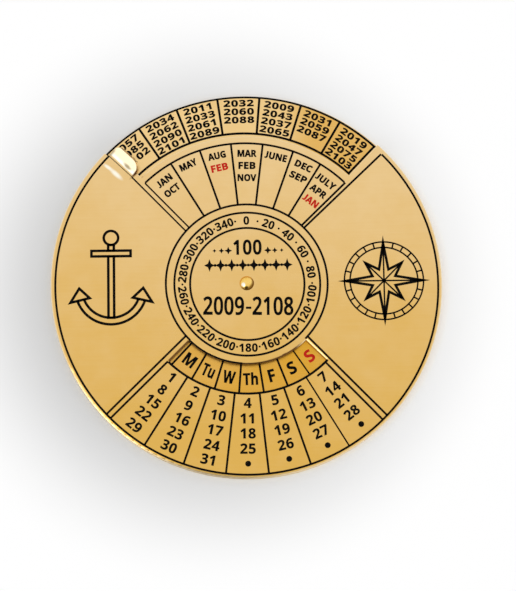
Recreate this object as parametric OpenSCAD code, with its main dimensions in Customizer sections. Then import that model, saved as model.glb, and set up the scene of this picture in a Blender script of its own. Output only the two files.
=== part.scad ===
// Perpetual desk calendar: a round front plate that turns over a year disc.
// The plate is pierced by a notch at the rim and by a curved window near the
// middle, and what is printed on the year disc shows through both. One domed
// rivet, set flush in the back of the year disc, is the axle. A thin washer
// round it keeps the two printed faces from rubbing.
//
// +Z points out of the printed face and +Y to the middle of the year notch.
// The origin is the centre of the flat back, on the rivet's axis.

/* [Discs] */
// Diameter of the front plate and of the year disc
disc_d = 76; // [66:1:100]
// Thickness of the year disc
year_disc_t = 1.2; // [1:0.1:3]
// Thickness of the front plate
plate_t = 1.0; // [0.7:0.05:1.5]

/* [Pressed edges] */
// Width of the rounded band that the press leaves along an upper edge
roll_w = 0.45; // [0.2:0.05:0.6]
// Radius of that rounded band
roll_r = 0.9; // [0.8:0.05:1.5]
// Slope at which the band leaves the flat face
roll_start = 10; // [5:1:14]
// Width of the bevel along the lower edge of the year disc
back_bevel = 0.2; // [0.1:0.05:0.4]

/* [Year notch] */
// How far the notch reaches in from the rim
notch_depth = 8.5; // [7.5:0.1:10]
// Angle from the middle of the notch to each end
notch_half_angle = 43.6; // [38:0.1:44.5]

/* [Weekday window] */
// Radius of the window's inner edge
window_inner_r = 15.95; // [14:0.05:18]
// Width of the window from its inner to its outer edge
window_w = 5.55; // [4.5:0.05:7]
// Angle from the middle of the window to each end
window_half_angle = 45.2; // [40:0.1:50]

/* [Thumb tab] */
// Angle of the tab's fold line from the middle of the notch
fold_angle = 45.75; // [45:0.05:48]
// Length of the tab along its fold line
tab_w = 6.2; // [5:0.1:6.8]
// Gap between the rim and the tab's outer side
tab_rim_gap = 0.9; // [0.5:0.05:1.2]
// Angle by which the tab is bent up
tab_bend = 28; // [15:1:50]
// Radius of the bend on the tab's upper side
tab_bend_r = 1.2; // [0.8:0.1:2]
// Length of the flat leaf beyond the bend
tab_leaf = 2.1; // [2:0.1:3]
// Corner radius of the leaf near the rim
tab_rim_corner_r = 1.2; // [0.4:0.1:1.8]
// Corner radius of the leaf nearer the middle
tab_inner_corner_r = 2.0; // [1:0.1:2]
// Width of the slit that parts the tab from the rim
tab_slit = 0.3; // [0.2:0.05:0.5]

/* [Rivet] */
// Diameter of the rivet's shank
shank_d = 1.6; // [1.2:0.1:3]
// Diameter of the domed head
head_d = 2.8; // [2.6:0.1:5]
// Height of the domed head
head_h = 0.8; // [0.5:0.05:1.2]
// Diameter of the countersunk tail in the back of the year disc
tail_d = 2.6; // [2.2:0.1:4]
// Depth of the countersunk tail
tail_h = 0.5; // [0.3:0.05:0.8]

/* [Spacer washer] */
// Outer diameter of the washer between the two discs
washer_d = 9; // [6:0.5:16]
// Thickness of that washer
washer_t = 0.3; // [0.2:0.05:0.6]

/* [Running clearances] */
// Gap all round the shank in the front plate
bore_clearance = 0.05; // [0.02:0.01:0.1]
// Gap above and below the front plate at the rivet
face_clearance = 0.03; // [0.02:0.01:0.08]
// Gap round the shank and the tail where the rivet is set in the year disc
set_clearance = 0.02; // [0.01:0.01:0.05]

/* [Hidden] */
$fn = 180;
// a cut starts this far outside the solid that it cuts
over = 1;
// a cut overlaps its neighbour by this much, so that no skin is left between
lap = 0.05;
brass = "#e6c078";
rear_brass = "#dcab45";
rivet_brass = "#f0cb62";
fibre = "#7a3b28";
disc_r = disc_d / 2;
notch_r = disc_r - notch_depth;
window_outer_r = window_inner_r + window_w;
washer_top = year_disc_t + washer_t;
plate_bottom = washer_top + face_clearance;
plate_top = plate_bottom + plate_t;
head_bottom = plate_top + face_clearance;
// the rounded band's centre, in from the edge, and its drop at the edge
roll_centre = roll_w + roll_r * sin(roll_start);
roll_drop = roll_r * cos(roll_start) - sqrt(roll_r * roll_r - roll_centre * roll_centre);
tab_outer_r = disc_r - tab_rim_gap;
tab_inner_r = tab_outer_r - tab_w;
leaf_rim_corner_r = min(tab_rim_corner_r, tab_leaf);
leaf_inner_corner_r = min(tab_inner_corner_r, tab_leaf);
// flat steps that the bend is made of
bend_steps = 8;
// radius of the ball that the domed head is cut from
dome_r = (head_d * head_d / 4 + head_h * head_h) / (2 * head_h);
bore_d = shank_d + 2 * bore_clearance;
set_d = shank_d + 2 * set_clearance;

// The corner that a pressed edge loses. The metal is on the left of the edge
// at x = 0, and its upper face is at y = 0.
module edge_roll() {
    difference() {
        translate([-roll_w, -roll_drop])
            square([roll_w + over, roll_drop + over]);
        translate([-roll_centre, -roll_r * cos(roll_start)])
            circle(r = roll_r);
    }
}

// A ring's section turned through an angle, centred on the clock angle given.
// Clock angles run from +Y towards -X.
module turned(middle, half_angle) {
    rotate([0, 0, 90 + middle - half_angle])
        rotate_extrude(angle = 2 * half_angle)
            children();
}

// The part of a ring between two radii, open above and below the plate
module ring_part(inner_r, outer_r, middle, half_angle) {
    turned(middle, half_angle)
        translate([inner_r, plate_bottom - over])
            square([outer_r - inner_r, plate_t + 2 * over]);
}

// The rounded band along a straight end that runs out from the middle.
// side is 1 where the metal lies towards +X of the line, and -1 where it
// lies towards -X, both before the line is turned to its angle.
module end_roll(inner_r, outer_r, angle, side) {
    rotate([0, 0, angle])
        translate([0, outer_r, plate_top])
            rotate([90, 0, 0])
                linear_extrude(outer_r - inner_r)
                    mirror([side > 0 ? 1 : 0, 0])
                        edge_roll();
}

// The rounded band along a curved edge whose metal is on the inside
module inner_arc_roll(r, middle, half_angle) {
    turned(middle, half_angle)
        translate([r, plate_top])
            edge_roll();
}

// The rounded band along a curved edge whose metal is on the outside
module outer_arc_roll(r, middle, half_angle) {
    turned(middle, half_angle)
        translate([r, plate_top])
            mirror([1, 0])
                edge_roll();
}

// The rounded band round the rim of a disc whose upper face is at the height
module rim_roll(height) {
    rotate_extrude()
        translate([disc_r, height])
            edge_roll();
}

// What is open beside the tab: the place that its metal left, and the slit
// between the tab and the rim. The fold line is at x = 0 before it is turned.
module tab_opening() {
    reach = (disc_r + 2 * over) * sin(fold_angle - notch_half_angle) + lap;
    rotate([0, 0, fold_angle])
        translate([0, 0, plate_bottom - over])
            linear_extrude(plate_t + 2 * over)
                polygon([
                    [0, tab_inner_r],
                    [reach, tab_inner_r],
                    [reach, disc_r + 2 * over],
                    [-tab_slit, disc_r + 2 * over],
                    [-tab_slit, tab_outer_r],
                    [0, tab_outer_r]
                ]);
}

// Everything that the press removes round the year notch
module notch_cut() {
    ring_part(notch_r, disc_r + over, 0, notch_half_angle);
    inner_arc_roll(notch_r, 0, notch_half_angle);
    end_roll(notch_r, disc_r + lap, -notch_half_angle, 1);
    end_roll(notch_r, tab_inner_r + lap, notch_half_angle, -1);
    tab_opening();
}

// Everything that the press removes at the weekday window
module window_cut() {
    ring_part(window_inner_r, window_outer_r, 180, window_half_angle);
    inner_arc_roll(window_inner_r, 180, window_half_angle);
    outer_arc_roll(window_outer_r, 180, window_half_angle);
    end_roll(window_inner_r, window_outer_r, 180 - window_half_angle, 1);
    end_roll(window_inner_r, window_outer_r, 180 + window_half_angle, -1);
}

// A point of the bend's side view, at a radius and an angle from its centre
function bend_point(radius, angle) =
    [radius * sin(angle), plate_t + tab_bend_r - radius * cos(angle)];

// A point of the leaf's tip, beyond the end of the bend at that radius
function tip_point(radius) =
    bend_point(radius, tab_bend) + (tab_leaf) * [cos(tab_bend), sin(tab_bend)];

// Side view of the tab: a strip inside the plate, the bend and the leaf
module tab_profile() {
    inner_r = tab_bend_r;
    outer_r = tab_bend_r + plate_t;
    steps = [0:bend_steps];
    polygon(concat(
        [[-tab_slit, 0]],
        [for (i = steps) bend_point(outer_r, tab_bend * i / bend_steps)],
        [tip_point(outer_r), tip_point(inner_r)],
        [for (i = steps) bend_point(inner_r, tab_bend * (1 - i / bend_steps))],
        [[-tab_slit, plate_t]]
    ));
}

// What rounding takes from the leaf's corner at its tip and at y = 0
module corner_waste(r) {
    translate([tab_leaf - r, 0, -over])
        difference() {
            translate([0, -over, 0])
                cube([r + over, r + over, plate_t + 2 * over]);
            translate([0, r, -over])
                cylinder(h = plate_t + 4 * over, r = r);
        }
}

// The thumb tab, bent up out of the plate's own metal along the fold line
module thumb_tab() {
    rotate([0, 0, fold_angle])
        translate([0, tab_inner_r, plate_bottom])
            difference() {
                translate([0, tab_w, 0])
                    rotate([90, 0, 0])
                        linear_extrude(tab_w)
                            tab_profile();
                // the leaf's corners, cut square to the leaf
                translate([0, 0, plate_t + tab_bend_r])
                    rotate([0, -tab_bend, 0])
                        translate([0, 0, -tab_bend_r - plate_t]) {
                            corner_waste(leaf_inner_corner_r);
                            translate([0, tab_w, 0])
                                mirror([0, 1, 0])
                                    corner_waste(leaf_rim_corner_r);
                        }
            }
}

module year_disc() {
    color(rear_brass)
        difference() {
            cylinder(h = year_disc_t, d = disc_d);
            rim_roll(year_disc_t);
            rotate_extrude()
                polygon([
                    [disc_r - back_bevel, 0],
                    [disc_r + over, back_bevel + over],
                    [disc_r + over, -over],
                    [disc_r - back_bevel - over, -over]
                ]);
            translate([0, 0, -over])
                cylinder(h = year_disc_t + 2 * over, d = set_d);
            rotate_extrude()
                tail_profile(set_clearance, over);
        }
}

// Half section of the countersunk tail, grown by a clearance for its seat
module tail_profile(clearance, below) {
    polygon([
        [0, -below],
        [tail_d / 2 + clearance, -below],
        [tail_d / 2 + clearance, 0],
        [shank_d / 2 + clearance, tail_h],
        [0, tail_h]
    ]);
}

module spacer_washer() {
    color(fibre)
        translate([0, 0, year_disc_t])
            difference() {
                cylinder(h = washer_t, d = washer_d);
                translate([0, 0, -over])
                    cylinder(h = washer_t + 2 * over, d = bore_d);
            }
}

module front_plate() {
    color(brass)
        union() {
            difference() {
                translate([0, 0, plate_bottom])
                    cylinder(h = plate_t, d = disc_d);
                rim_roll(plate_top);
                notch_cut();
                window_cut();
                translate([0, 0, plate_bottom - over])
                    cylinder(h = plate_t + 2 * over, d = bore_d);
            }
            thumb_tab();
        }
}

module centre_rivet() {
    color(rivet_brass)
        rotate_extrude() {
            tail_profile(0, 0);
            square([shank_d / 2, head_bottom + lap]);
            translate([0, head_bottom])
                intersection() {
                    square([head_d / 2, head_h]);
                    translate([0, head_h - dome_r])
                        circle(r = dome_r);
                }
        }
}

year_disc();
spacer_washer();
front_plate();
centre_rivet();
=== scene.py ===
# %% [markdown]
# # A perpetual calendar of two brass dials
#
# The calendar is two stamped brass discs on one rivet, with a thin washer between them. The year disc lies
# flat on the desk and carries the years round its rim and the weekdays round its middle. The front plate
# turns over it: a notch in its rim shows seven columns of years, a curved window shows seven weekdays, and
# months and dates are printed on it.
#
# All the metal comes from the frame as exact solids, so nothing here cuts or bends brass. What is left is
# what a finisher and a printer would do: lacquer the brass, print the marks, and set the lights.

# %% Load the frame
import math

import bmesh
import bpy
from mathutils import Matrix, Vector


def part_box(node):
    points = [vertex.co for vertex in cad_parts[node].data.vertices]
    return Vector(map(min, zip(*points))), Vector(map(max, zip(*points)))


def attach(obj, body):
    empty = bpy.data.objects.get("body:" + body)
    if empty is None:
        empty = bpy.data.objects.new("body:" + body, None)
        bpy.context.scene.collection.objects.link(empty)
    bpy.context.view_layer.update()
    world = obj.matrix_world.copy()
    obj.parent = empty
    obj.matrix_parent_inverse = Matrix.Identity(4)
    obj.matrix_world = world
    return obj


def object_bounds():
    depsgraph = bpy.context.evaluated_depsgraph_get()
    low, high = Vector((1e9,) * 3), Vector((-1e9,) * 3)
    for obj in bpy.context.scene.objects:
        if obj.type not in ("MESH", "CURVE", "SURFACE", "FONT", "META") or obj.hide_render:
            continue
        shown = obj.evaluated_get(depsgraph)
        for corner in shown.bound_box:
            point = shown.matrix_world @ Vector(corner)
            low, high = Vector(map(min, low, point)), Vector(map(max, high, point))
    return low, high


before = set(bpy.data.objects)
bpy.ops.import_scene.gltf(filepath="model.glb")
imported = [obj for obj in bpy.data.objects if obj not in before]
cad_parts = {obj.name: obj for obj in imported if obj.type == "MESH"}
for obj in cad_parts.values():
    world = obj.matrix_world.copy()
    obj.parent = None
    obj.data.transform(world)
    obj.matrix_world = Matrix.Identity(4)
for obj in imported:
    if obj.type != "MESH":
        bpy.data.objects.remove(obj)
cad_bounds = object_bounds()

# %% [markdown]
# ## Heights that the marks stand on
#
# Ink has to lie exactly on the metal. The two printed faces are read from the frame, so that the print
# still fits if a sheet's thickness changes. The tab rises above the front plate, so the plate's own face
# is looked for on the side away from it.

# %% Faces and rim
MM = 0.001
plate_points = [vertex.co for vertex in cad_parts["front_plate"].data.vertices]
PLATE_FACE = max(point.z for point in plate_points if point.y < 0)
YEAR_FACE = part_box("year_disc")[1].z
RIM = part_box("year_disc")[1].x
print(f"plate face {PLATE_FACE / MM:.2f} mm, year face {YEAR_FACE / MM:.2f} mm, rim {RIM / MM:.2f} mm")

# %% [markdown]
# ## The camera
#
# The view is nearly straight down, leaning back a little towards the reader's side, from about a foot and a
# half away. The direction is built from a lean and a swing, and the camera is then slid sideways in its own
# plane, which keeps circles looking the same as a lens shift would.

# %% Camera
CAMERA_LEAN = math.radians(11.3)
CAMERA_SWING = math.radians(-8.35)
CAMERA_ROLL = math.radians(0.98)
CAMERA_DISTANCE = 12.6 * RIM
CAMERA_SLIDE = (0.0572 * RIM, -0.0629 * RIM)
SENSOR = 36.0
LENS = 150.2

towards = Vector((
    math.sin(CAMERA_LEAN) * math.sin(CAMERA_SWING),
    -math.sin(CAMERA_LEAN) * math.cos(CAMERA_SWING),
    math.cos(CAMERA_LEAN),
))
roll_up = Vector((math.sin(CAMERA_ROLL), math.cos(CAMERA_ROLL), 0.0))
right = roll_up.cross(towards).normalized()
upward = towards.cross(right)
camera_place = towards * CAMERA_DISTANCE + right * CAMERA_SLIDE[0] + upward * CAMERA_SLIDE[1]
camera_place.z += PLATE_FACE

camera_data = bpy.data.cameras.new("camera")
camera_data.sensor_width = SENSOR
camera_data.lens = LENS
camera = bpy.data.objects.new("camera", camera_data)
facing = Matrix((right, upward, towards)).transposed().to_4x4()
camera.matrix_world = Matrix.Translation(camera_place) @ facing
bpy.context.scene.collection.objects.link(camera)
bpy.context.scene.camera = camera
print("camera at", [round(value, 4) for value in camera_place])

# %% [markdown]
# ## Small tools for shaders
#
# A printed colour is easiest to name by its levels from 0 to 255, but shaders mix light, so the levels are
# turned into linear values first. One helper adds a node and fills its settings and sockets, and a few more
# stand for the nodes that come up most, which keeps every material short enough to read at a glance.

# %% Shader tools
def tone(red, green, blue):
    """A colour named by its levels from 0 to 255, as linear values."""
    levels = [level / 255 for level in (red, green, blue)]
    return (*[v / 12.92 if v <= 0.04045 else ((v + 0.055) / 1.055) ** 2.4 for v in levels], 1.0)


def fill_sockets(tree, node, inputs):
    """Gives a node's sockets, by name or number, a value or a link."""
    for name, value in inputs.items():
        if isinstance(value, bpy.types.NodeSocket):
            tree.links.new(value, node.inputs[name])
        else:
            node.inputs[name].default_value = value


def add_node(tree, kind, settings=None, inputs=None):
    """A shader node with its settings and its sockets."""
    made = tree.nodes.new("ShaderNode" + kind)
    for name, value in (settings or {}).items():
        setattr(made, name, value)
    fill_sockets(tree, made, inputs or {})
    return made


def compute(tree, operation, *values):
    """The result of a Math node."""
    return add_node(tree, "Math", {"operation": operation}, dict(enumerate(values))).outputs[0]


def compute_vector(tree, operation, *values):
    """The results of a Vector Math node: a Vector or a Value."""
    return add_node(tree, "VectorMath", {"operation": operation}, dict(enumerate(values))).outputs


def ramp(tree, value, start, end, first, last, kind="LINEAR"):
    """An even run from a first to a last level, while a value runs from start to end."""
    return add_node(tree, "MapRange", {"interpolation_type": kind}, {
        "Value": value, "From Min": start, "From Max": end, "To Min": first, "To Max": last}).outputs[0]


def fade(tree, value, start, end, first=0.0, last=1.0):
    """The same with a soft beginning and end."""
    return ramp(tree, value, start, end, first, last, "SMOOTHSTEP")


def blend(tree, factor, under, over):
    """One colour laid over another by a factor."""
    return add_node(tree, "Mix", {"data_type": "RGBA"}, {"Factor": factor, 6: under, 7: over}).outputs[2]


def flat_distance(tree, place, middle=(0.0, 0.0)):
    """The axes of a point, and how far it stands from an upright line through a middle in millimetres."""
    axes = add_node(tree, "SeparateXYZ", inputs={0: place}).outputs
    flat = add_node(tree, "CombineXYZ", inputs={"X": axes["X"], "Y": axes["Y"]}).outputs[0]
    return axes, compute_vector(tree, "DISTANCE", flat, (middle[0] * MM, middle[1] * MM, 0.0))["Value"]


def new_material(name):
    """A material, its nodes, its Principled shader and the Object coordinates of the piece."""
    material = bpy.data.materials.new(name)
    material.use_nodes = True
    tree = material.node_tree
    place = add_node(tree, "TexCoord").outputs["Object"]
    return material, tree, tree.nodes["Principled BSDF"], place


def new_group(name, result, **numbers):
    """An empty node group that takes a vector and numbers and gives one result, with both its ends."""
    group = bpy.data.node_groups.new(name, "ShaderNodeTree")
    group.interface.new_socket("Vector", in_out="INPUT", socket_type="NodeSocketVector")
    for label, value in numbers.items():
        socket = group.interface.new_socket(label, in_out="INPUT", socket_type="NodeSocketFloat")
        socket.default_value = value
    group.interface.new_socket(result, in_out="OUTPUT", socket_type="NodeSocketFloat")
    return group, group.nodes.new("NodeGroupInput").outputs, group.nodes.new("NodeGroupOutput").inputs


def use_group(tree, group, **inputs):
    """The results of a group placed in a material with its own values."""
    return add_node(tree, "Group", {"node_tree": group}, inputs).outputs


print("white as a linear tone", tone(255, 255, 255))

# %% [markdown]
# ## Effects that the metals share
#
# Sheet brass shows four things under its lacquer. The rolling mill leaves a faint grain in one direction,
# so noise is stretched along it. The colour drifts slowly over the sheet, which is noise with a large
# scale. And the press rounds its edges, which get a paler tone, partly thinner lacquer and partly a painted
# highlight: that follows how far a point lies below the flat face. Hairlines from handling are the thin lines
# along which noise passes its middle level. Each effect is a group, so that every metal can use it.

# %% Rolled grain
grain_group, grain_in, grain_out = new_group("rolled_grain", "Height", Pitch=0.2 * MM, Run=10 * MM)
grain_size = add_node(grain_group, "CombineXYZ", inputs={
    "X": grain_in["Run"], "Y": grain_in["Pitch"], "Z": grain_in["Run"]}).outputs[0]
grain_place = compute_vector(grain_group, "DIVIDE", grain_in["Vector"], grain_size)["Vector"]
grain_noise = add_node(grain_group, "TexNoise", inputs={
    "Vector": grain_place, "Scale": 1.0, "Detail": 3.0, "Roughness": 0.6})
grain_group.links.new(grain_noise.outputs[0], grain_out["Height"])

# %% Slow drift of the tone
NOISE_LOW, NOISE_MIDDLE, NOISE_HIGH = 0.3, 0.5, 0.7
drift_group, drift_in, drift_out = new_group("tone_drift", "Factor", Patch=20 * MM, Seed=0.0)
drift_turns = compute(drift_group, "DIVIDE", 1.0, drift_in["Patch"])
drift_noise = add_node(drift_group, "TexNoise", {"noise_dimensions": "4D"}, {
    "Vector": drift_in["Vector"], "W": drift_in["Seed"],
    "Scale": drift_turns, "Detail": 2.0, "Roughness": 0.5})
drift_range = fade(drift_group, drift_noise.outputs[0], NOISE_LOW, NOISE_HIGH)
drift_group.links.new(drift_range, drift_out["Factor"])

# %% Pressed edges
EDGE_START = 0.1
edge_group, edge_in, edge_out = new_group("pressed_edge", "Mask", Face=0.0, Depth=0.3 * MM)
edge_height = add_node(edge_group, "SeparateXYZ", inputs={0: edge_in["Vector"]}).outputs["Z"]
edge_below = compute(edge_group, "SUBTRACT", edge_in["Face"], edge_height)
edge_share = compute(edge_group, "DIVIDE", edge_below, edge_in["Depth"])
edge_group.links.new(fade(edge_group, edge_share, EDGE_START, 1.0), edge_out["Mask"])

# %% Hairlines from handling
HAIR_HALF = 0.006
hair_group, hair_in, hair_out = new_group("hairlines", "Mask", Spacing=4 * MM)
hair_turns = compute(hair_group, "DIVIDE", 1.0, hair_in["Spacing"])
hair_noise = add_node(hair_group, "TexNoise", inputs={
    "Vector": hair_in["Vector"], "Scale": hair_turns, "Detail": 4.0, "Distortion": 1.5})
hair_middle = compute(hair_group, "SUBTRACT", hair_noise.outputs[0], NOISE_MIDDLE)
hair_off = compute(hair_group, "ABSOLUTE", hair_middle)
hair_group.links.new(ramp(hair_group, hair_off, 0.0, HAIR_HALF, 1.0, 0.0), hair_out["Mask"])
print("shared effects", [group.name for group in bpy.data.node_groups])

# %% [markdown]
# ## The lacquered brass of the front plate
#
# Polished sheet brass under a satin lacquer is a metal shader of middling roughness: bright, but without a
# picture in it. The grain barely lifts the normal. The tone drifts between a paler and a deeper brass, and
# the pressed edges get a paler tone of their own, partly a painted highlight. A painted deepening of the tone
# is a function handed in, because each disc has its own: a painted sheen down the plate, a painted warm
# reflection on the year disc.

# %% Plate brass
BROAD_PATCH, FINE_PATCH, FINE_SHARE = 24 * MM, 4 * MM, 0.7
GRAIN_PITCH, GRAIN_RUN, GRAIN_POLISH = 0.35 * MM, 12 * MM, 0.04
EDGE_DEPTH, EDGE_ROUGHNESS = 0.25 * MM, 0.3
HAIR_SPACING, HAIR_ROUGHNESS = 6 * MM, 0.05
BUMP_STRENGTH, BUMP_HEIGHT = 0.12, 0.01 * MM
SHEEN_RUN, SHEEN_DEPTHS = (30 * MM, -28 * MM), (-0.22, 0.73)


def lacquered_brass(name, pale, deep, edge, face, seed, roughness, unevenness, painted_deepening):
    """Satin brass under lacquer with a painted deepening, a rolled grain and its own tone at pressed edges.
    """
    material, tree, shader, place = new_material(name)
    drift = use_group(tree, drift_group, Vector=place, Patch=BROAD_PATCH, Seed=seed)["Factor"]
    patches = use_group(tree, drift_group, Vector=place, Patch=FINE_PATCH, Seed=seed + 1)["Factor"]
    grain = use_group(tree, grain_group, Vector=place, Pitch=GRAIN_PITCH, Run=GRAIN_RUN)["Height"]
    mask = use_group(tree, edge_group, Vector=place, Face=face, Depth=EDGE_DEPTH)["Mask"]
    hair = use_group(tree, hair_group, Vector=place, Spacing=HAIR_SPACING)["Mask"]
    uneven = compute(tree, "MULTIPLY_ADD", patches, FINE_SHARE, compute(tree, "ADD", drift, grain))
    depth = add_node(tree, "Math", {"operation": "MULTIPLY_ADD", "use_clamp": True}, {
        0: uneven, 1: unevenness, 2: painted_deepening(tree, place)}).outputs[0]
    shade = blend(tree, mask, blend(tree, depth, pale, deep), edge)
    streak = ramp(tree, grain, NOISE_LOW, NOISE_HIGH, roughness - GRAIN_POLISH, roughness + GRAIN_POLISH)
    rubbed = compute(tree, "MULTIPLY_ADD", hair, HAIR_ROUGHNESS, streak)
    polish = add_node(tree, "Mix", {"data_type": "FLOAT"}, {"Factor": mask, 2: rubbed, 3: EDGE_ROUGHNESS})
    bump = add_node(tree, "Bump", inputs={
        "Strength": BUMP_STRENGTH, "Distance": BUMP_HEIGHT, "Height": grain})
    fill_sockets(tree, shader, {
        "Metallic": 1.0, "Base Color": shade, "Roughness": polish.outputs[0], "Normal": bump.outputs[0]})
    return material, tree, shader, place, shade


def down_the_plate(tree, place):
    """Painted sheen: paler above the middle, deeper below."""
    axes = add_node(tree, "SeparateXYZ", inputs={0: place}).outputs
    return ramp(tree, axes["Y"], *SHEEN_RUN, *SHEEN_DEPTHS)


# The plate's tone is deepened by a painted sheen down the plate, and its paler edge tone is partly a painted
# highlight.
plate_brass, plate_tree, plate_shader, plate_place, plate_shade = lacquered_brass(
    "plate_brass", tone(235, 202, 146), tone(222, 177, 88), tone(241, 219, 176), PLATE_FACE,
    seed=1.7, roughness=0.34, unevenness=0.2, painted_deepening=down_the_plate)
print("plate brass has", len(plate_tree.nodes), "nodes")
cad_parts["front_plate"].data.materials[0] = plate_brass

# %% [markdown]
# Light is painted round the tab. The tab itself and two short spots beside the fold get a painted highlight,
# almost white. The tab gets painted shade at one end and in one streak, and a painted shadow along its lower
# end. Painted shade also darkens the rounded edge of the window, but not on the right, which stays lit. A
# spot
# is an ellipse: a Mapping node moves, turns and stretches the point until the ellipse is a unit circle, and
# the distance from its middle fades the spot out. The height is stretched so far that it no longer counts.

# %% Painted highlights and shade on the plate
PAINTED_HIGHLIGHT, PAINTED_DIMMING, PAINTED_SHADE = tone(255, 250, 232), tone(154, 139, 108), tone(96, 58, 22)
# Painted highlights, painted shade and a painted shadow: tone, strength, middle, turn and size of each spot.
SPOTS = [
    (PAINTED_HIGHLIGHT, 0.95, (-26.78, 23.46), -37.0, (1.2, 0.42)), (PAINTED_HIGHLIGHT, 0.97, (-25.26, 22.1), -43.0, (1.85, 0.55)),
    (PAINTED_DIMMING, 0.9, (-26.0, 26.5), 46.0, (1.2, 0.6)), (PAINTED_DIMMING, 0.97, (-23.0, 23.5), -45.0, (1.25, 0.4)),
    (PAINTED_SHADE, 1.0, (-21.4, 22.2), 46.0, (1.7, 0.34)),
]
SPOT_FADE = (0.25, 1.2)
BEND_HEIGHTS, BEND_HIGHLIGHT = (PLATE_FACE + 0.01 * MM, PLATE_FACE + 0.06 * MM), 0.9
TAB_HEIGHTS, TAB_HIGHLIGHT = (PLATE_FACE + 0.15 * MM, PLATE_FACE + 0.45 * MM), 0.5
SUNK_HEIGHTS, SHADE_STRENGTH = (PLATE_FACE - 0.1 * MM, PLATE_FACE - 0.01 * MM), 0.97
WINDOW_REACH, LIT_SIDE = (22.5 * MM, 24 * MM), (9 * MM, 11 * MM)

plate_axes, from_axle = flat_distance(plate_tree, plate_place)
# Painted highlight on the tab, strongest at the bend.
bend = fade(plate_tree, plate_axes["Z"], *BEND_HEIGHTS, 0.0, BEND_HIGHLIGHT)
tab = fade(plate_tree, plate_axes["Z"], *TAB_HEIGHTS, 1.0, TAB_HIGHLIGHT)
plate_shade = blend(plate_tree, compute(plate_tree, "MULTIPLY", bend, tab), plate_shade, PAINTED_HIGHLIGHT)
for spot_tone, strength, middle, turn, size in SPOTS:
    laid = add_node(plate_tree, "Mapping", {"vector_type": "TEXTURE"}, {
        "Vector": plate_place, "Location": (middle[0] * MM, middle[1] * MM, PLATE_FACE),
        "Rotation": (0.0, 0.0, math.radians(turn)), "Scale": (size[0] * MM, size[1] * MM, 1.0)})
    away = compute_vector(plate_tree, "LENGTH", laid.outputs[0])["Value"]
    painted_spot = fade(plate_tree, away, *SPOT_FADE, strength, 0.0)
    plate_shade = blend(plate_tree, painted_spot, plate_shade, spot_tone)
# Painted shade on the sunken rounded edge of the window, left out on the lit right side.
sunk = fade(plate_tree, plate_axes["Z"], *SUNK_HEIGHTS, SHADE_STRENGTH, 0.0)
at_window = fade(plate_tree, from_axle, *WINDOW_REACH, 1.0, 0.0)
shaded_side = fade(plate_tree, plate_axes["X"], *LIT_SIDE, 1.0, 0.0)
painted_shade_mask = compute(plate_tree, "MULTIPLY", compute(plate_tree, "MULTIPLY", sunk, at_window), shaded_side)
plate_shade = blend(plate_tree, painted_shade_mask, plate_shade, PAINTED_SHADE)
fill_sockets(plate_tree, plate_shader, {"Base Color": plate_shade})
print("worn spots", len(SPOTS))

# %% [markdown]
# ## The deeper gold of the year disc
#
# The year disc was lacquered a deeper gold. How strongly that gold shows is painted reflection: strong
# under the window and on one side of the rim, where it stands in for warmer reflections, thin on the other.
# Two soft masks say where it is strong, one by the distance from the axle and one across the disc, and the
# stronger of them counts.

# %% Year disc brass
GOLD_MIDDLE, GOLD_ACROSS, GOLD_LEVELS = (23 * MM, 27 * MM), (-15 * MM, 12 * MM), (0.55, 0.74)
GOLD_SIDE, GOLD_SIDE_LEVEL = (6 * MM, 15 * MM), 0.46


def strong_lacquer(tree, place):
    """Painted reflection: the deeper gold on the middle, more to the right, and on the right of the rim."""
    axes, radius = flat_distance(tree, place)
    rightwards = ramp(tree, axes["X"], *GOLD_ACROSS, *GOLD_LEVELS)
    inside = compute(tree, "MULTIPLY", fade(tree, radius, *GOLD_MIDDLE, 1.0, 0.0), rightwards)
    return compute(tree, "MAXIMUM", inside, fade(tree, axes["X"], *GOLD_SIDE, 0.0, GOLD_SIDE_LEVEL))


# The year disc's gold is deepened by a painted reflection, and its paler edge tone is partly a painted
# highlight.
year_brass = lacquered_brass(
    "year_disc_brass", tone(241, 208, 148), tone(216, 158, 30), tone(238, 212, 164), YEAR_FACE,
    seed=5.2, roughness=0.3, unevenness=0.1, painted_deepening=strong_lacquer)[0]
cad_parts["year_disc"].data.materials[0] = year_brass
print("year disc brass has", len(year_brass.node_tree.nodes), "nodes")

# %% [markdown]
# ## The rivet and the washer
#
# The rivet's head was turned and polished, so it mirrors the room: low roughness, with faint hairlines where
# a thumb has rubbed it. Two marks are painted on it by their distance from a point: a painted dark reflection
# in brown at the edge on the lower right, and a small painted highlight on the left. The washer is red
# vulcanised fibre, which isn't metal: matt and slightly mottled.

# %% Rivet brass and washer fibre
# Painted marks on the rivet: a dark reflection in brown, then a highlight.
RIVET_MARKS = [
    (tone(112, 74, 20), (-0.35, 0.35), (1.12 * MM, 1.6 * MM), (0.0, 0.92)),
    (PAINTED_HIGHLIGHT, (-0.7, -0.36), (0.2 * MM, 0.5 * MM), (0.95, 0.0)),
]
RIVET_HAIR, RIVET_ROUGHNESS, FIBRE_ROUGHNESS = 0.08, 0.16, 0.75

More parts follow.
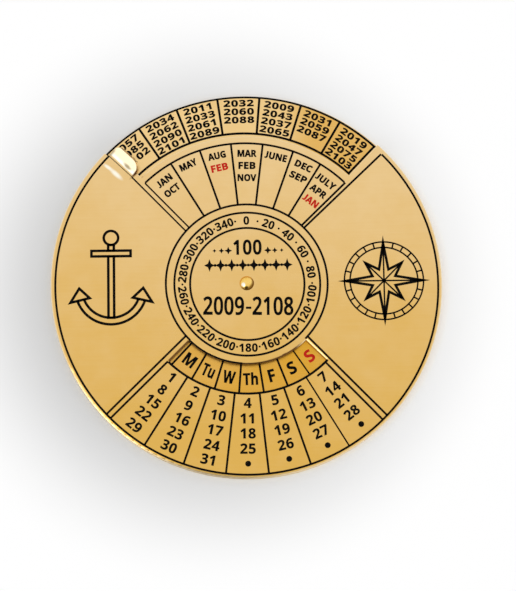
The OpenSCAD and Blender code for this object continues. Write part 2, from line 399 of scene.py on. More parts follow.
rivet_brass, rivet_tree, rivet_shader, rivet_place = new_material("rivet_brass")
rivet_hair = use_group(rivet_tree, hair_group, Vector=rivet_place, Spacing=0.9 * MM)["Mask"]
rivet_drift = use_group(rivet_tree, drift_group, Vector=rivet_place, Patch=1.2 * MM, Seed=3.1)["Factor"]
rivet_shade = blend(rivet_tree, rivet_drift, tone(247, 210, 122), tone(240, 192, 92))
for mark_tone, middle, distances, levels in RIVET_MARKS:
    away = flat_distance(rivet_tree, rivet_place, middle)[1]
    painted_mark = fade(rivet_tree, away, *distances, *levels)
    rivet_shade = blend(rivet_tree, painted_mark, rivet_shade, mark_tone)
rivet_polish = compute(rivet_tree, "MULTIPLY_ADD", rivet_hair, RIVET_HAIR, RIVET_ROUGHNESS)
fill_sockets(rivet_tree, rivet_shader, {
    "Metallic": 1.0, "Base Color": rivet_shade, "Roughness": rivet_polish})
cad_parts["centre_rivet"].data.materials[0] = rivet_brass

washer_fibre, fibre_tree, fibre_shader, fibre_place = new_material("washer_fibre")
fibre_drift = use_group(fibre_tree, drift_group, Vector=fibre_place, Patch=0.5 * MM, Seed=8.0)["Factor"]
fibre_shade = blend(fibre_tree, fibre_drift, tone(120, 58, 38), tone(98, 42, 28))
fill_sockets(fibre_tree, fibre_shader, {"Base Color": fibre_shade, "Roughness": FIBRE_ROUGHNESS})
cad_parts["spacer_washer"].data.materials[0] = washer_fibre
print("rivet and washer", rivet_brass.name, washer_fibre.name)

# %% [markdown]
# ## Inks
#
# The marks are screen-printed enamel: nearly flat, slightly glossy, and not perfectly even, because the
# mesh of the screen leaves thin spots. A fine drift in tone and roughness is enough for that.

# %% Black and red ink
INK_PATCH, INK_SEED = 0.7 * MM, 2.0
INK_ROUGHNESS, INK_UNEVEN, INK_SHINE = 0.5, 0.12, 0.05


def printing_ink(name, thick, thin):
    """Screen-printed enamel with the small unevenness that a screen leaves."""
    material, tree, shader, place = new_material(name)
    patchy = use_group(tree, drift_group, Vector=place, Patch=INK_PATCH, Seed=INK_SEED)["Factor"]
    fill_sockets(tree, shader, {
        "Base Color": blend(tree, patchy, thick, thin),
        "Roughness": compute(tree, "MULTIPLY_ADD", patchy, INK_UNEVEN, INK_ROUGHNESS),
        "Specular IOR Level": INK_SHINE})
    return material


black_ink = printing_ink("black_ink", tone(4, 3, 2), tone(9, 6, 4))
red_ink = printing_ink("red_ink", tone(186, 28, 20), tone(200, 44, 30))
print("materials", [material.name for material in bpy.data.materials])

# %% [markdown]
# ## How the marks are drawn
#
# Every mark is artwork first: flat faces in millimetres, drawn on the origin's plane as a printer would
# draw them on film. Places on a dial are easiest to give by a radius and a clock angle. A ring is a short
# radial edge that bmesh spins, a straight line is a unit square stretched between two points, and a dot is
# a filled circle. One step at the end gives all of them thickness and lays them on the brass.

# %% Artwork: rings, lines and dots
ARC_STEP, ARC_FEWEST = 2.0, 4
DOT_SIDES = 24


def at_clock(radius, angle, centre=(0.0, 0.0)):
    """The point at a radius and a clock angle in degrees, 0 at the top and growing clockwise."""
    turn = math.radians(angle)
    return Vector((centre[0] + radius * math.sin(turn), centre[1] + radius * math.cos(turn), 0.0))


def draw_arc(art, radius, width, start=0.0, end=360.0, centre=(0.0, 0.0), tracks=1):
    """A ring, or the part of it between two clock angles, made of tracks side by side."""
    across = [radius + width * (track / tracks - 0.5) for track in range(tracks + 1)]
    corners = [art.verts.new(at_clock(reach, start, centre)) for reach in across]
    edges = [art.edges.new(pair) for pair in zip(corners, corners[1:])]
    sweep = end - start
    bmesh.ops.spin(
        art, geom=corners + edges, cent=(*centre, 0.0), axis=(0.0, 0.0, -1.0), angle=math.radians(sweep),
        steps=max(ARC_FEWEST, round(sweep / ARC_STEP)), use_merge=sweep == 360)


def draw_line(art, start, end, width, pieces=1):
    """A straight line with square ends, in pieces where it has to bend over an edge."""
    start, end = Vector(start).to_3d(), Vector(end).to_3d()
    along = end - start
    place = Matrix.Translation((start + end) / 2) @ Matrix.Rotation(math.atan2(along.y, along.x), 4, "Z")
    stretch = Matrix.Diagonal((along.length, width, 1.0, 1.0))
    bmesh.ops.create_grid(art, x_segments=pieces, y_segments=1, size=0.5, matrix=place @ stretch)


def draw_dot(art, centre, radius):
    """A round dot."""
    place = Matrix.Translation(Vector(centre).to_3d())
    bmesh.ops.create_circle(art, cap_ends=True, segments=DOT_SIDES, radius=radius, matrix=place)


print("a full ring has", round(360 / ARC_STEP), "steps")

# %% [markdown]
# ## Figures and letters
#
# Blender's built-in face holds two plain sans alphabets for formulas, at code points of their own, one light
# and one bold. Their strokes are as even as a dial's, so every word is first rewritten into one of them. A
# text object becomes a flat mesh at once, before anything is moved, and its doubled corners are merged while
# it is still by itself, so that no two marks are ever sewn together.
#
# Ink spreads as it is pressed. An inset with a negative width pushes the outline of the letters outwards and
# leaves a folded rim behind, which is deleted. So the dial can have any weight of stroke.

# %% Artwork: type
ALPHABETS = {"light": (0x1D7E2, 0x1D5A0, 0x1D5BA), "bold": (0x1D7EC, 0x1D5D4, 0x1D5EE)}
HANGS_BELOW = -0.05
TYPE_SMOOTHNESS, TYPE_DOUBLES = 3, 0.0005


def in_alphabet(words, face):
    """The words, written with the figures, capitals and small letters of a sans alphabet."""
    figures, capitals, small = ALPHABETS[face]
    moved = []
    for sign in words:
        if sign.isdigit():
            sign = chr(figures + int(sign))
        elif sign.isupper():
            sign = chr(capitals + ord(sign) - ord("A"))
        elif sign.islower():
            sign = chr(small + ord(sign) - ord("a"))
        moved.append(sign)
    return "".join(moved)


def stand_hooks(word):
    """Lifts a J that hangs below the line, so that it stands on it like the other capitals."""
    letter = {vertex for vertex in word.verts if vertex.co.y < HANGS_BELOW}
    linked = set(letter)
    while linked:
        linked = {edge.other_vert(vertex) for vertex in linked for edge in vertex.link_edges} - letter
        letter |= linked
    if letter:
        top = max(vertex.co.y for vertex in letter)
        share = top / (top - min(vertex.co.y for vertex in letter))
        for vertex in letter:
            vertex.co.y = top - (top - vertex.co.y) * share


def set_type(words, face, spacing=1.0):
    """Flat type as a bmesh, centred on its letters' steps, with its lowest and highest corners."""
    setting = bpy.data.curves.new("setting", "FONT")
    setting.body = in_alphabet(words, face)
    setting.align_x = "CENTER"
    setting.space_character = spacing
    setting.resolution_u = TYPE_SMOOTHNESS
    holder = bpy.data.objects.new("setting", setting)
    flat = bpy.data.meshes.new_from_object(holder)
    bpy.data.objects.remove(holder)
    bpy.data.curves.remove(setting)
    word = bmesh.new()
    word.from_mesh(flat)
    bpy.data.meshes.remove(flat)
    bmesh.ops.remove_doubles(word, verts=word.verts, dist=TYPE_DOUBLES)
    stand_hooks(word)
    low = Vector((min(v.co.x for v in word.verts), min(v.co.y for v in word.verts), 0.0))
    high = Vector((max(v.co.x for v in word.verts), max(v.co.y for v in word.verts), 0.0))
    return word, low, high


def press_type(art, word, middle, scale, centre, turn, spread):
    """Scales type about its middle, turns it, lays it on a point and lets the ink spread."""
    place = Matrix.Translation(Vector(centre).to_3d()) @ Matrix.Rotation(math.radians(turn), 4, "Z")
    word.transform(place @ Matrix.Diagonal((*scale, 1.0, 1.0)) @ Matrix.Translation(-middle))
    if spread:
        rim = bmesh.ops.inset_region(
            word, faces=word.faces, thickness=-spread, use_boundary=True, use_even_offset=True)["faces"]
        bmesh.ops.delete(word, geom=rim, context="FACES")
    flat = bpy.data.meshes.new("word")
    word.to_mesh(flat)
    word.free()
    art.from_mesh(flat)
    bpy.data.meshes.remove(flat)

# %% [markdown]
# Words and numbers are fitted in two ways. A word has a height and a width: it may be widened a little, and
# what is still missing goes between its letters. The figures of a number keep one step, as on a ruler, so
# that a narrow 1 doesn't draw its neighbours in. How much a looser setting adds is measured on two zeros.
#
# Figures of one size are named by four values together: their height, their step, how much they are widened,
# and how far their ink spreads.

# %% Artwork: words and numbers
WIDENED = 1.3
LOOSE = 1.5
zero, zero_low, zero_high = set_type("0", "bold")
zeros, close_low, close_high = set_type("00", "bold")
loose_zeros, loose_low, loose_high = set_type("00", "bold", LOOSE)
FIGURE_HEIGHT = (zero_high - zero_low).y
FIGURE_MIDDLE = Vector((0.0, (zero_low + zero_high).y / 2, 0.0))
FIGURE_STEP = (close_high - close_low).x - (zero_high - zero_low).x
STEP_GAIN = ((loose_high - loose_low).x - (close_high - close_low).x) / (LOOSE - 1)
for measured in (zero, zeros, loose_zeros):
    measured.free()
print(f"figure height {FIGURE_HEIGHT:.3f}, step {FIGURE_STEP:.3f}, gain {STEP_GAIN:.3f}")


def draw_word(art, words, centre, height, width, turn, spread):
    """Bold words of a given height and width, turned by an angle in degrees and centred on a point."""
    height, width = height - 2 * spread, width - 2 * spread
    word, low, high = set_type(words, "bold")
    stretch = width * (high - low).y / height / (high - low).x
    if len(words) > 1 and stretch > WIDENED:
        missing = (stretch / WIDENED - 1) * (high - low).x
        word.free()
        word, low, high = set_type(words, "bold", 1 + missing / STEP_GAIN / (len(words) - 1))
    scale = width / (high - low).x, height / (high - low).y
    press_type(art, word, (low + high) / 2, scale, centre, turn, spread)


def draw_number(art, number, centre, figures, turn, face="bold"):
    """A number whose figures have a given size, turned by an angle in degrees and centred on a point."""
    height, step, widened, spread = figures
    tall = (height - 2 * spread) / FIGURE_HEIGHT
    spacing = 1 + (step / (tall * widened) - FIGURE_STEP) / STEP_GAIN
    word = set_type(str(number), face, spacing)[0]
    press_type(art, word, FIGURE_MIDDLE, (tall * widened, tall), centre, turn, spread)


def dial_turn(angle, inward):
    """How far a mark at a clock angle turns, with its top outwards or towards the middle."""
    return 180 - angle if inward else -angle

# %% [markdown]
# ## From artwork to ink
#
# A print is a skin. The flat faces are scaled to metres, extruded once and lowered so that their underside
# is just inside the metal and their face just proud of it: far too thin to see from the side, but a closed
# solid that no light passes under.

# %% Ink
INK_PROUD = 0.015 * MM
INK_SUNK = 0.010 * MM


def print_marks(name, art, ink, body, face, drop=None):
    """Makes a piece of printed ink from artwork, lays it on a face and lets it ride on its body."""
    bmesh.ops.scale(art, verts=art.verts, vec=(MM, MM, MM))
    skin = bmesh.ops.extrude_face_region(art, geom=art.faces[:])
    tops = [item for item in skin["geom"] if isinstance(item, bmesh.types.BMVert)]
    bmesh.ops.translate(art, verts=tops, vec=(0.0, 0.0, INK_PROUD + INK_SUNK))
    bmesh.ops.translate(art, verts=art.verts, vec=(0.0, 0.0, face - INK_SUNK))
    if drop is not None:
        for vertex in art.verts:
            vertex.co.z -= drop(vertex.co)
    bmesh.ops.recalc_face_normals(art, faces=art.faces)
    open_edges = sum(not edge.is_manifold for edge in art.edges)
    mesh = bpy.data.meshes.new(name)
    art.to_mesh(mesh)
    art.free()
    mesh.materials.append(ink)
    piece = bpy.data.objects.new(name, mesh)
    bpy.context.scene.collection.objects.link(piece)
    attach(piece, body)
    print(f"{name}: {len(mesh.polygons)} faces, {open_edges} open edges")

# %% [markdown]
# ## The year scale
#
# The year disc has 28 columns, because weekdays repeat every 28 years. A year's class says how far its
# first of January has moved through the week, and neighbouring columns differ by one. Seven columns show
# in the notch; their years are set as they stand on the dial, and every other year of the century goes to
# the emptiest column of its class.
#
# The print sits a little off the disc's centre, as stamped blanks often do, so its outer line runs over the
# rounded band at the rim. That band is an arc in section, and the line is lowered by the arc's own formula.
# Where the line would run off the disc, it is moved in and squeezed a little.

# %% Years in their columns
COLUMNS, WEEK = 28, 7
COLUMN_PITCH = 360 / COLUMNS
FIRST_YEAR, YEARS, FIRST_CLASS = 2009, 100, 3
SHOWN = [
    (2057, 2085, 2102), (2034, 2062, 2090, 2101), (2011, 2033, 2061, 2089), (2032, 2060, 2088),
    (2009, 2043, 2037, 2065), (2031, 2059, 2087), (2019, 2047, 2075, 2103),
]


def year_class(year):
    """Which of the seven kinds of column a year belongs to."""
    return (FIRST_CLASS + year - FIRST_YEAR + year // 4 - FIRST_YEAR // 4) % WEEK


year_columns = [list(years) for years in SHOWN] + [[] for _ in range(COLUMNS - len(SHOWN))]
placed = {year for years in SHOWN for year in years}
for year in range(FIRST_YEAR, FIRST_YEAR + YEARS):
    if year not in placed:
        fitting = [i for i in range(len(SHOWN), COLUMNS) if -i % WEEK == year_class(year)]
        min((year_columns[i] for i in fitting), key=len).append(year)
print("years in columns", [len(column) for column in year_columns])

# %% Print the year scale
YEAR_CENTRE = (-0.25, 0.49)
YEAR_LINE = 5.2 - 4 * COLUMN_PITCH
YEAR_INNER, YEAR_OUTER = 29.9, 37.36
YEAR_STROKE, YEAR_TRACKS, YEAR_PIECES = 0.46, 6, 24
YEAR_ROW, YEAR_ROW_PITCH = 36.06, 1.7
YEAR_FIGURES = (1.4, 1.54, 1.43, 0.055)
INK_REACH, RIM_STROKE = RIM / MM - 0.005, 0.43
ROLL_WIDTH, ROLL_RADIUS, ROLL_START = 0.45 * MM, 0.9 * MM, math.radians(10)


def roll_drop(into):
    """How far a rounded band has fallen below the flat face at a distance into it."""
    across = min(max(into, 0.0), ROLL_WIDTH) + ROLL_RADIUS * math.sin(ROLL_START)
    return ROLL_RADIUS * math.cos(ROLL_START) - math.sqrt(ROLL_RADIUS**2 - across**2)


def rim_drop(point):
    """The drop of the rounded band at the rim."""
    return roll_drop(point.xy.length - (RIM - ROLL_WIDTH))


def kept_on_disc(point):
    """A point of the outer line, moved in where the line would run off the disc."""
    reach = point.length
    across = (point - Vector(YEAR_CENTRE).to_3d()).length - YEAR_OUTER + YEAR_STROKE / 2
    inner_side = min(reach - across, INK_REACH - RIM_STROKE)
    width = min(YEAR_STROKE, INK_REACH - inner_side)
    return point * ((inner_side + across / YEAR_STROKE * width) / reach)


years_art = bmesh.new()
draw_arc(years_art, YEAR_OUTER, YEAR_STROKE, centre=YEAR_CENTRE, tracks=YEAR_TRACKS)
for vertex in years_art.verts:
    vertex.co = kept_on_disc(vertex.co)
draw_arc(years_art, YEAR_INNER, YEAR_STROKE, centre=YEAR_CENTRE)
for index, years in enumerate(year_columns):
    line = YEAR_LINE + index * COLUMN_PITCH
    ends = at_clock(YEAR_INNER, line, YEAR_CENTRE), at_clock(YEAR_OUTER, line, YEAR_CENTRE)
    draw_line(years_art, *ends, YEAR_STROKE, pieces=YEAR_PIECES)
    angle = line + COLUMN_PITCH / 2
    for row, year in enumerate(years):
        spot = at_clock(YEAR_ROW - row * YEAR_ROW_PITCH, angle, YEAR_CENTRE)
        draw_number(years_art, year, spot, YEAR_FIGURES, dial_turn(angle, False))
print_marks("year_scale_print", years_art, black_ink, "year_scale", YEAR_FACE, rim_drop)

# %% [markdown]
# ## The weekday ring
#
# Four runs of seven weekdays go round the middle of the year disc, so that a week always stands in the
# window whichever column of years is chosen. The dial is read from below here, with the tops of the letters
# towards the axle. Sundays are a second printing in red.

# %% Print the weekdays
LINE, THIN_LINE = 0.41, 0.31
WEEKDAYS = [("M", 2.3), ("Tu", 2.5), ("W", 2.4), ("Th", 2.9), ("F", 1.3), ("S", 1.6), ("S", 1.6)]
WEEKDAY_FIRST, WEEKDAY_RADIUS, WEEKDAY_HEIGHT, WEEKDAY_SPREAD = 217.2, 18.57, 2.5, 0.05
WEEKDAY_LINE, WEEKDAY_LINE_ENDS, THIN_WEEKDAY_LINE = 184.85, (15.4, 22.0), 3

weekday_art = bmesh.new()
sunday_art = bmesh.new()
for index in range(COLUMNS):
    line = WEEKDAY_LINE - index * COLUMN_PITCH
    ends = [at_clock(radius, line) for radius in WEEKDAY_LINE_ENDS]
    draw_line(weekday_art, *ends, THIN_LINE if index == THIN_WEEKDAY_LINE else LINE)
    letters, width = WEEKDAYS[index % WEEK]
    art = sunday_art if index % WEEK == WEEK - 1 else weekday_art
    angle = WEEKDAY_FIRST - index * COLUMN_PITCH
    spot = at_clock(WEEKDAY_RADIUS, angle)
    draw_word(art, letters, spot, WEEKDAY_HEIGHT, width, dial_turn(angle, True), WEEKDAY_SPREAD)
print_marks("weekday_print", weekday_art, black_ink, "year_scale", YEAR_FACE)
print_marks("sunday_print", sunday_art, red_ink, "year_scale", YEAR_FACE)

# %% [markdown]
# ## The lines of the front plate
#
# The plate's lines part it into fields: three rings round the middle, a fan of month cells above, a fan of
# date cells below, and two open panels at the sides for pictures. Along the left part of the window a dark
# line lies on the rounded band of the window's inner edge, and a line follows the outer edge in the same way.
# A hair-thin line of black ink along the fold is a painted shadow in the crease where the tab was folded up.

# %% Print the plate's lines
RING_RADII, RING_CENTRE = (11.1, 14.16), (0.1, -0.11)
PLATE_LINE, PLATE_LINE_CENTRE, PLATE_LINE_ENDS = 37.18, (0.06, -0.2), (46.3, 314.3)
WINDOW_RING, WINDOW_EDGE = 15.71, 21.66
WINDOW_INNER, WINDOW_OUTER, WINDOW_HALF = 15.95 * MM, 21.5 * MM, 45.2
MONTH_ARC, MONTH_CENTRE, MONTH_ARC_ENDS = 27.91, (-0.2, 0.13), (-43.9, 44.7)
MONTH_LINES_END, DATE_LINES_END = MONTH_ARC + 0.05, PLATE_LINE + 0.1
MONTH_LINES = (-31.08, -18.27, -5.49, 7.33, 19.92, 32.05)
DATE_LINES = (225.5, 212.65, 199.85, 187.05, 174.4, 161.72, 149.15, 136.45)
THIN_DATE_LINE = 6
FIELD_LINES = [
    ((-19.6, 20.2), (-11.06, 11.19), THIN_LINE), ((19.62, 19.88), (10.9, 11.4), LINE),
    ((-22.1, 21.37), (-11.75, 10.54), THIN_LINE), ((26.8, 25.55), (11.38, 10.92), LINE),
    ((-27.35, -25.33), (-11.95, -10.25), LINE), ((26.6, -26.24), (11.68, -10.71), LINE),
]
CREASE_SHADOW = ((-26.6, 25.75), (-22.0, 21.35))
CREASE_SHADOW_WIDTH = 0.14

lines_art = bmesh.new()
for radius in RING_RADII:
    draw_arc(lines_art, radius, LINE, centre=RING_CENTRE)
draw_arc(lines_art, WINDOW_RING, LINE, -180 + WINDOW_HALF, 180 - WINDOW_HALF)
draw_arc(lines_art, PLATE_LINE, LINE, *PLATE_LINE_ENDS, centre=PLATE_LINE_CENTRE)
draw_arc(lines_art, MONTH_ARC, LINE, *MONTH_ARC_ENDS, centre=MONTH_CENTRE)
for angle in MONTH_LINES:
    draw_line(lines_art, at_clock(WINDOW_RING, angle), at_clock(MONTH_LINES_END, angle), LINE)
for index, angle in enumerate(DATE_LINES):
    width = THIN_LINE if index == THIN_DATE_LINE else LINE
    draw_line(lines_art, at_clock(WINDOW_EDGE, angle), at_clock(DATE_LINES_END, angle), width)
for start, end, width in FIELD_LINES:
    draw_line(lines_art, start, end, width)
# Painted shadow in the fold's crease, drawn as a thin ink line.
draw_line(lines_art, *CREASE_SHADOW, CREASE_SHADOW_WIDTH)
print_marks("plate_lines", lines_art, black_ink, "dial_plate", PLATE_FACE)

# %% Print the window's two edges
WINDOW_STROKE, WINDOW_RING_STROKE, WINDOW_TRACKS = 0.46, 0.34, 4
WINDOW_RING_START = 184


def window_drop(point):
    """The drop of the rounded bands along the window's inner and outer edge."""
    radius = point.xy.length
    inner = radius - (WINDOW_INNER - ROLL_WIDTH)
    outer = (WINDOW_OUTER + ROLL_WIDTH) - radius
    return roll_drop(min(inner, outer))


window_art = bmesh.new()
window_end = 180 + WINDOW_HALF
draw_arc(window_art, WINDOW_EDGE, WINDOW_STROKE, 180 - WINDOW_HALF, window_end, tracks=WINDOW_TRACKS)
draw_arc(window_art, WINDOW_INNER / MM - WINDOW_RING_STROKE / 2, WINDOW_RING_STROKE,
         WINDOW_RING_START, window_end, tracks=WINDOW_TRACKS)
print_marks("window_lines", window_art, black_ink, "dial_plate", PLATE_FACE, window_drop)

# %% [markdown]
# ## Months and dates
#
# Months that begin on the same weekday share a cell. January and February stand there twice: the ones
# written in small letters below are for leap years and are printed as red capitals. The dates run down seven
# columns from the window, with dots where the last row has no date.

# %% Print the months
MONTH_ROWS = (26.0, 23.55, 21.1)
MONTH_CELLS = [
    (-37.4, 0.0, ["JAN", "OCT"]), (-25.0, 0.25, ["MAY"]), (-12.1, 0.15, ["AUG", "feb"]),
    (1.0, 0.0, ["MAR", "FEB", "NOV"]), (13.6, 0.0, ["JUNE"]), (26.3, 0.0, ["DEC", "SEP"]),
    (38.1, -0.4, ["JULY", "APR", "jan"]),
]
MONTH_WIDTHS = {"MAR": 3.75, "NOV": 3.7, "JUNE": 4.4, "JULY": 4.4, "FEB": 3.35, "JAN": 3.3, "OCT": 3.4}
MONTH_WIDTH, MONTH_HEIGHT, MONTH_SPREAD = 3.55, 1.45, 0.055

months_art = bmesh.new()
leap_art = bmesh.new()
for angle, outwards, names in MONTH_CELLS:
    for radius, name in zip(MONTH_ROWS, names):
        art = leap_art if name.islower() else months_art
        width = MONTH_WIDTHS.get(name.upper(), MONTH_WIDTH)
        spot = at_clock(radius + outwards, angle)
        draw_word(art, name.upper(), spot, MONTH_HEIGHT, width, dial_turn(angle, False), MONTH_SPREAD)
print_marks("month_names", months_art, black_ink, "dial_plate", PLATE_FACE)
print_marks("leap_month_names", leap_art, red_ink, "dial_plate", PLATE_FACE)

# %% Print the dates
DATE_ANGLES = (218.7, 205.9, 192.9, 180.5, 167.6, 154.8, 142.3)
DATE_ROWS = (23.5, 26.5, 29.4, 32.35, 35.25)
DATE_FIGURES, DATE_DOT, LAST_DATE = (2.05, 1.6, 1.0, 0.04), 0.57, 31
dates_art = bmesh.new()
for column, angle in enumerate(DATE_ANGLES):
    for row, radius in enumerate(DATE_ROWS):
        date = 1 + column + WEEK * row
        spot = at_clock(radius, angle)
        if date > LAST_DATE:
            draw_dot(dates_art, spot, DATE_DOT)
        else:
            draw_number(dates_art, date, spot, DATE_FIGURES, dial_turn(angle, True))
print_marks("date_numbers", dates_art, black_ink, "dial_plate", PLATE_FACE)

# %% [markdown]
# ## The middle of the plate
#
# Round the middle goes a ring of plain numbers, like a compass ring: every twentieth degree, upright in both
# halves, with a dot between neighbours. Inside it stand the span of years that the dial covers and a row of
# four-pointed stars. A star is an eight-sided disc whose every second corner is drawn in.

# %% Artwork: stars
STAR_CORNERS = 8


def draw_star(art, centre, width, height, waist):
    """A four-pointed star, whose waist says how far the corners between its points are drawn in."""
    ring = bmesh.ops.create_circle(art, cap_ends=True, segments=STAR_CORNERS, radius=0.5)["verts"]
    for index, vertex in enumerate(ring):
        pulled = waist if index % 2 else 1.0
        vertex.co = Vector((vertex.co.x * pulled * width, vertex.co.y * pulled * height, 0.0))
    bmesh.ops.translate(art, verts=ring, vec=Vector(centre).to_3d())

# %% Print the middle
RING_TEXT, RING_EVERY, RING_FIGURES, RING_DOT = 12.6, 20, (1.7, 1.25, 0.95, 0.04), 0.2
HUNDRED_PLACE, HUNDRED_FIGURES = (0.2, 7.15), (3.05, 1.95, 0.8, 0.13)
SPAN = [(FIRST_YEAR, (-4.55, -4.4)), (FIRST_YEAR + YEARS - 1, (5.0, -4.55))]
SPAN_FIGURES, SPAN_TURN = (3.7, 2.03, 0.72, 0.12), -1.0
SPAN_DASH, SPAN_DASH_WIDTH = ((-0.25, -4.85), (0.8, -4.87)), 0.45
STARS, STAR_STEP, STAR_SIZE, STAR_WAIST, STAR_DOT = 8, 2.16, (2.1, 2.5), 0.42, 0.28
STARS_FROM, STARS_LEVEL = -7.2, 3.6
SMALL_STARS, SMALL_STEP, SMALL_WAIST = (1.5, 1.15, 0.8), 1.35, 0.45
SMALL_MIDDLE, SMALL_FROM, SMALL_LEVEL = 0.35, 3.85, 6.5
middle_art = bmesh.new()
for degrees in range(0, 360, RING_EVERY):
    turn = dial_turn(degrees, 90 < degrees < 270)
    spot = at_clock(RING_TEXT, degrees, RING_CENTRE)
    draw_number(middle_art, degrees, spot, RING_FIGURES, turn)
    draw_dot(middle_art, at_clock(RING_TEXT, degrees + RING_EVERY / 2, RING_CENTRE), RING_DOT)
draw_number(middle_art, YEARS, HUNDRED_PLACE, HUNDRED_FIGURES, 0.0, "light")
for year, spot in SPAN:
    draw_number(middle_art, year, spot, SPAN_FIGURES, SPAN_TURN, "light")
draw_line(middle_art, *SPAN_DASH, SPAN_DASH_WIDTH)
for star in range(STARS):
    across = STARS_FROM + STAR_STEP * star
    draw_star(middle_art, (across, STARS_LEVEL), *STAR_SIZE, STAR_WAIST)
    if star < STARS - 1:
        draw_dot(middle_art, (across + STAR_STEP / 2, STARS_LEVEL), STAR_DOT)
for side in (-1, 1):
    for star, size in enumerate(SMALL_STARS):
        across = SMALL_MIDDLE + side * (SMALL_FROM + SMALL_STEP * star)
        draw_star(middle_art, (across, SMALL_LEVEL), size, size, SMALL_WAIST)
print_marks("middle_print", middle_art, black_ink, "dial_plate", PLATE_FACE)

# %% [markdown]
# ## Outlines for the pictures
#
# The two pictures are line drawings, so they need a pen. A curve with a bevel object does that: the bevel is
# a straight nib, and swept along the curve it leaves a flat ribbon of the nib's width, which becomes a mesh
# at once. Vector handles keep the runs between the corners straight.

# %% Artwork: outlines
PEN = 0.52
STROKE_DOUBLES = 0.001


def make_nib():
    """A straight two-point curve: the pen's nib."""
    curve = bpy.data.curves.new("nib", "CURVE")
    curve.dimensions = "2D"
    tip = curve.splines.new("POLY")
    tip.points.add(1)
    for point, side in zip(tip.points, (-1, 1)):
        point.co = (side * PEN / 2, 0.0, 0.0, 1.0)
    made = bpy.data.objects.new("nib", curve)
    bpy.context.scene.collection.objects.link(made)
    return made


def draw_outline(art, corners, nib):
    """One closed pen stroke with straight runs between its corners."""
    curve = bpy.data.curves.new("stroke", "CURVE")
    curve.dimensions = "2D"
    curve.fill_mode = "NONE"
    curve.bevel_mode = "OBJECT"
    curve.bevel_object = nib
    spline = curve.splines.new("BEZIER")
    spline.bezier_points.add(len(corners) - 1)
    spline.use_cyclic_u = True
    for knot, corner in zip(spline.bezier_points, corners):
        knot.co = (corner[0], corner[1], 0.0)
        knot.handle_left_type = knot.handle_right_type = "VECTOR"
    stroke = bpy.data.objects.new("stroke", curve)
    bpy.context.scene.collection.objects.link(stroke)
    bpy.context.view_layer.update()
    ribbon = bpy.data.meshes.new_from_object(stroke.evaluated_get(bpy.context.evaluated_depsgraph_get()))
    line = bmesh.new()
    line.from_mesh(ribbon)
    bmesh.ops.remove_doubles(line, verts=line.verts, dist=STROKE_DOUBLES)
    line.to_mesh(ribbon)
    line.free()
    art.from_mesh(ribbon)
    bpy.data.meshes.remove(ribbon)
    bpy.data.objects.remove(stroke)
    bpy.data.curves.remove(curve)


nib = make_nib()
print("pen width", PEN, "mm")

# %% [markdown]
# ## An anchor
#
# A plain anchor stands upright on the left. Its shank, neck and stock are open bars, and a ring sits on top.
# Its arms are two arcs about one centre. They end in pointed flukes, whose corners are given by distances and
# clock angles from that centre, so that turning the angles over makes the other fluke.

# %% Print the anchor
ANCHOR_ACROSS = -26.3
SHACKLE_LEVEL, SHACKLE_RADIUS = 9.3, 1.4
STOCK_LEVEL, STOCK_REACH, BAR_HALF = 6.2, 3.8, 0.55
ARM_LEVEL, ARM_INSIDE, ARM_OUTSIDE, ARM_END = -0.9, 5.6, 6.9, 109.0
FLUKE = [(6.2, 88.0), (8.3, 108.0), (4.5, 112.0)]
NECK = (STOCK_LEVEL + BAR_HALF, SHACKLE_LEVEL - SHACKLE_RADIUS)
SHANK = (ARM_LEVEL - ARM_INSIDE, STOCK_LEVEL - BAR_HALF)
anchor_art = bmesh.new()


def draw_bar(art, start, end, nib):
    """The outline of a straight bar between two points."""
    start, end = Vector(start), Vector(end)
    side = (end - start).normalized().orthogonal() * BAR_HALF
    draw_outline(art, [start - side, end - side, end + side, start + side], nib)


draw_arc(anchor_art, SHACKLE_RADIUS, PEN, centre=(ANCHOR_ACROSS, SHACKLE_LEVEL))
for low, high in (NECK, SHANK):
    draw_bar(anchor_art, (ANCHOR_ACROSS, low), (ANCHOR_ACROSS, high), nib)
stock_ends = [(ANCHOR_ACROSS + side * STOCK_REACH, STOCK_LEVEL) for side in (-1, 1)]
draw_bar(anchor_art, *stock_ends, nib)
arms = (ANCHOR_ACROSS, ARM_LEVEL)
for radius in (ARM_INSIDE, ARM_OUTSIDE):
    draw_arc(anchor_art, radius, PEN, ARM_END, 360 - ARM_END, arms)
for side in (1, -1):
    draw_outline(anchor_art, [at_clock(reach, side * angle, arms) for reach, angle in FLUKE], nib)
print_marks("anchor_picture", anchor_art, black_ink, "dial_plate", PLATE_FACE)

# %% [markdown]
# ## A compass rose
#
# A plain compass rose stands on the right: four long and four short points in one outline, a thin line down
# each point, and two rings with ticks between them. All of it comes from distances and clock angles.

# %% Print the compass rose
ROSE = (26.7, 0.2)
ROSE_RINGS, ROSE_TICKS = (6.6, 7.7), 24
ROSE_REACHES = (7.5, 2.4, 5.0, 2.4) * 4
ROSE_STEP = 360 / len(ROSE_REACHES)
rose_art = bmesh.new()
for radius in ROSE_RINGS:
    draw_arc(rose_art, radius, THIN_LINE, centre=ROSE)
for tick in range(ROSE_TICKS):
    angle = 360 / ROSE_TICKS * tick
    draw_line(rose_art, *(at_clock(radius, angle, ROSE) for radius in ROSE_RINGS), THIN_LINE)
rose_corners = [at_clock(reach, ROSE_STEP * index, ROSE) for index, reach in enumerate(ROSE_REACHES)]
draw_outline(rose_art, rose_corners, nib)
for corner in rose_corners[::2]:
    draw_line(rose_art, ROSE, corner, THIN_LINE)
print_marks("rose_picture", rose_art, black_ink, "dial_plate", PLATE_FACE)
bpy.data.objects.remove(nib)

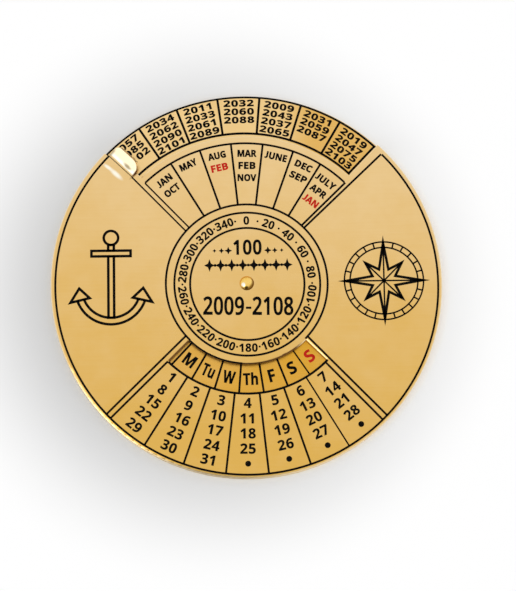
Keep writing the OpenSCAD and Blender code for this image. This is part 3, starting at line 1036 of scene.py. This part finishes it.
# %% [markdown]
# ## The studio
#
# The calendar lies on plain white paper. A soft shadow is painted into the paper's colour round the disc,
# darker to the lower left, as a big soft light on the other side would cast it. Close to the rim painted
# light brightens the paper a little, less behind the disc, so that the disc's own shadow stays weak in front.
# The light itself is an even white room, with a soft panel at the lower left that makes the tab and the lower
# rim flare. The room is darker low down in front, which gives the lower rim its brown.

# %% Paper
FLOOR_SIZE, FLOOR_GAP = 1.2, 0.01 * MM
HALO_CENTRE, HALO_REACH, HALO_LEVEL = (-6.15, -1.12), (14.55 * MM, 58.9 * MM), 0.403
LIFT_TONE, LIFT_REACH, LIFT_FADE = (0.142, 0.159, 0.178), 1.5 * MM, 1.78 * MM
BEHIND, BEHIND_LEVEL = (24 * MM, 30 * MM), 0.4
WHITE = (1.0, 1.0, 1.0)

paper, paper_tree, paper_shader, paper_place = new_material("white_paper")
# Painted shadow: the paper darkens softly round an offset middle.
halo_radius = flat_distance(paper_tree, paper_place, HALO_CENTRE)[1]
painted_shadow = fade(paper_tree, halo_radius, *HALO_REACH, HALO_LEVEL, 1.0)
# Painted light: near the rim the paper is brightened, less behind the disc.
paper_axes, paper_radius = flat_distance(paper_tree, paper_place)
behind = fade(paper_tree, paper_axes["Y"], *BEHIND, 1.0, BEHIND_LEVEL)
from_rim = compute(paper_tree, "SUBTRACT", RIM + LIFT_REACH, paper_radius)
near_rim = compute(paper_tree, "EXPONENT", compute(paper_tree, "DIVIDE", from_rim, LIFT_FADE))
painted_light = compute(paper_tree, "MULTIPLY", near_rim, behind)
lifted = compute_vector(paper_tree, "MULTIPLY_ADD", LIFT_TONE, painted_light, WHITE)["Vector"]
paper_tone = compute_vector(paper_tree, "MULTIPLY", lifted, painted_shadow)["Vector"]
white_most = compute_vector(paper_tree, "MINIMUM", paper_tone, WHITE)["Vector"]
fill_sockets(paper_tree, paper_shader, {
    "Base Color": white_most, "Roughness": 1.0, "Specular IOR Level": 0.0})
floor_mesh = bpy.data.meshes.new("floor")
floor_art = bmesh.new()
bmesh.ops.create_grid(floor_art, x_segments=1, y_segments=1, size=FLOOR_SIZE / 2)
bmesh.ops.translate(floor_art, verts=floor_art.verts, vec=(0.0, 0.0, cad_bounds[0][2] - FLOOR_GAP))
floor_art.to_mesh(floor_mesh)
floor_art.free()
floor_mesh.materials.append(paper)
floor = bpy.data.objects.new("floor", floor_mesh)
bpy.context.scene.collection.objects.link(floor)
print(f"floor at {(cad_bounds[0][2] - FLOOR_GAP) / MM:.2f} mm")

# %% Room
ROOM_DARK_WAY = Vector((-0.11, -0.87, 0.47)).normalized()
ROOM_DARK_EDGE, ROOM_DARK_LEVEL = (0.88, 0.96), 0.1
world = bpy.data.worlds.new("studio")
bpy.context.scene.world = world
world.use_nodes = True
room = world.node_tree
room_way = add_node(room, "TexCoord").outputs["Generated"]
room_turn = compute_vector(room, "DOT_PRODUCT", room_way, ROOM_DARK_WAY)["Value"]
room_dark = fade(room, room_turn, *ROOM_DARK_EDGE, 1.0, ROOM_DARK_LEVEL)
path = add_node(room, "LightPath").outputs
mirrored = compute(room, "MAXIMUM", path["Is Glossy Ray"], path["Is Transmission Ray"])
level = add_node(room, "Mix", {"data_type": "FLOAT"}, {"Factor": mirrored, 2: 1.0, 3: room_dark})
fill_sockets(room, room.nodes["Background"], {"Color": (*WHITE, 1.0), "Strength": level.outputs[0]})
print("room nodes", len(room.nodes))

# %% Soft panels
def shine_panel(name, way, distance, size, radiance):
    """A square card that looks at the calendar from a direction and shows only as a shine on its metal."""
    panel_data = bpy.data.lights.new(name, "AREA")
    panel_data.shape = "SQUARE"
    panel_data.size = size
    panel_data.energy = radiance * math.pi * size * size
    panel = bpy.data.objects.new(name, panel_data)
    way = Vector(way).normalized()
    panel.matrix_world = Matrix.Translation(way * distance) @ way.to_track_quat("Z", "Y").to_matrix().to_4x4()
    panel.visible_camera = False
    panel.visible_diffuse = False
    bpy.context.scene.collection.objects.link(panel)
    print(f"{name}: {panel_data.energy:.3f} W")


shine_panel("left_card", way=(-0.54, -0.54, 0.65), distance=0.5, size=0.19, radiance=2.3)
bpy.context.scene.view_settings.view_transform = "Standard"
